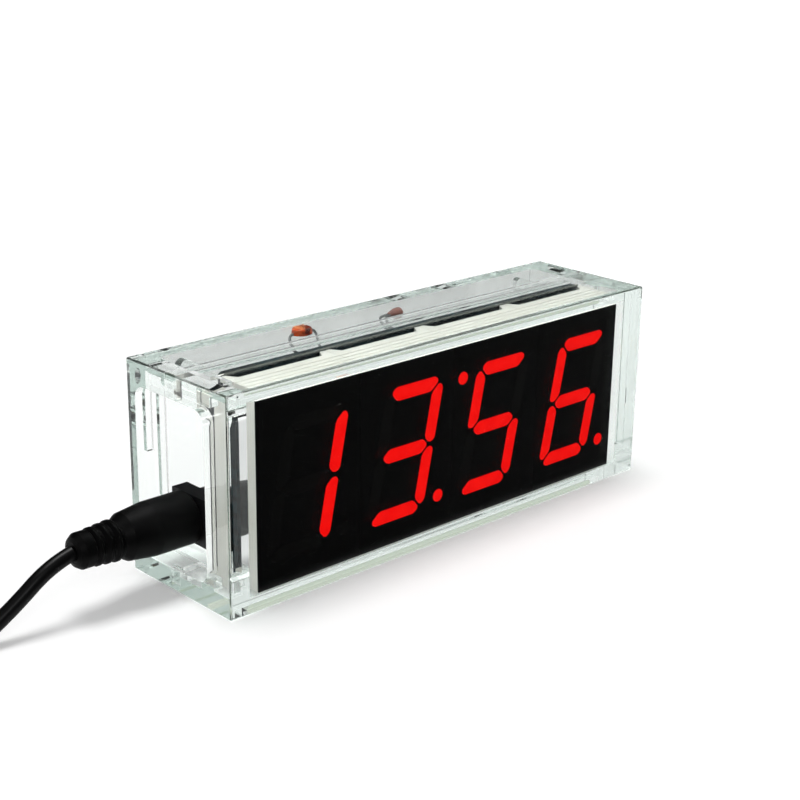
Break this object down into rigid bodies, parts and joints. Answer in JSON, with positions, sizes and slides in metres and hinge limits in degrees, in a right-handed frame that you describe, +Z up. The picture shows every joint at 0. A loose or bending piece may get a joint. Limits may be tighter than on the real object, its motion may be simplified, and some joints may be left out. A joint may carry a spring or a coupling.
{
  "type": "digital clock",
  "caption": "Desk clock with large red seven-segment digits in a clear two-part case, with rear buttons and a plugged-in power lead.",
  "frame": {"origin": "middle of the case's underside, on the surface it stands on", "axes": "+X to the right seen from the front, along the case; the digits face -Y; +Z up"},
  "size_m": [0.2349, 0.04, 0.0415],
  "materials": {
    "clear_plastic": "clear moulded styrene, polished",
    "module_plastic": "satin cream plastic",
    "face_black": "gloss black film",
    "segment_lit": "diffusing resin, glowing red",
    "segment_dark": "diffusing resin, unlit",
    "pin_metal": "tinned",
    "board": "dark solder mask",
    "black_plastic": "satin moulded black",
    "grey_metal": "satin can",
    "blue_sleeve": "printed sleeve, plain",
    "ceramic_tan": "dipped ceramic",
    "resistor_blue": "lacquered",
    "resistor_pack": "lacquered",
    "sensor_orange": "glazed cell surface",
    "bead_brown": "dipped epoxy",
    "plug_black": "soft moulded black",
    "cable_black": "smooth soft jacket",
    "plug_metal": "nickel plated",
    "tongue_white": "white moulded",
    "contact_gold": "gold flashed",
    "button_black": "satin moulded black"
  },
  "bodies": {
    "clock": {"front_shell": "clear_plastic", "circuit_board": "board", "display_pins": "pin_metal", "dc_jack": "black_plastic", "jack_contacts": "pin_metal", "ic_socket": "black_plastic", "microcontroller": "black_plastic", "microcontroller_legs": "pin_metal", "clock_chip": "black_plastic", "clock_chip_legs": "pin_metal", "main_crystal": "grey_metal", "watch_crystal": "grey_metal", "electrolytic_capacitor": "blue_sleeve", "ceramic_capacitors": "ceramic_tan", "resistors": "resistor_blue", "resistor_network": "resistor_pack", "transistors": "black_plastic", "buzzer": "black_plastic", "coin_cell_holder": "black_plastic", "coin_cell": "grey_metal", "component_leads": "pin_metal", "light_sensor": "sensor_orange", "light_sensor_leads": "pin_metal", "heat_sensor": "bead_brown", "heat_sensor_leads": "pin_metal", "digit_body_1": "module_plastic", "digit_face_1": "face_black", "digit_lit_1": "segment_lit", "digit_dark_1": "segment_dark", "digit_body_2": "module_plastic", "digit_face_2": "face_black", "digit_lit_2": "segment_lit", "digit_dark_2": "segment_dark", "digit_body_3": "module_plastic", "digit_face_3": "face_black", "digit_lit_3": "segment_lit", "digit_dark_3": "segment_dark", "digit_body_4": "module_plastic", "digit_face_4": "face_black", "digit_lit_4": "segment_lit", "digit_dark_4": "segment_dark", "set_button_body": "black_plastic", "set_button_cover": "grey_metal", "adjust_button_body": "black_plastic", "adjust_button_cover": "grey_metal"},
    "back_cover": {"rear_shell": "clear_plastic"},
    "set_button": {"set_button": "button_black"},
    "adjust_button": {"adjust_button": "button_black"},
    "power_lead": {"plug_body": "plug_black", "plug_sleeve": "plug_metal", "plug_core": "black_plastic", "power_cable": "cable_black", "cable_coil": "cable_black", "cable_tail": "cable_black", "usb_body": "plug_black", "usb_shell": "plug_metal", "usb_tongue": "tongue_white", "usb_contacts": "contact_gold"}
  },
  "joints": [
    {"name": "back_cover_slide", "type": "slide", "parent": "clock", "child": "back_cover", "axis": [0, 1, 0], "range_m": [0, 0.02]},
    {"name": "power_plug_slide", "type": "slide", "parent": "clock", "child": "power_lead", "axis": [-1, 0, 0], "range_m": [0, 0.012]},
    {"name": "set_button_press", "type": "slide", "parent": "clock", "child": "set_button", "axis": [0, -1, 0], "range_m": [0, 0.00025], "stiffness_N_per_m": 6000},
    {"name": "adjust_button_press", "type": "slide", "parent": "clock", "child": "adjust_button", "axis": [0, -1, 0], "range_m": [0, 0.00025], "stiffness_N_per_m": 6000}
  ]
}
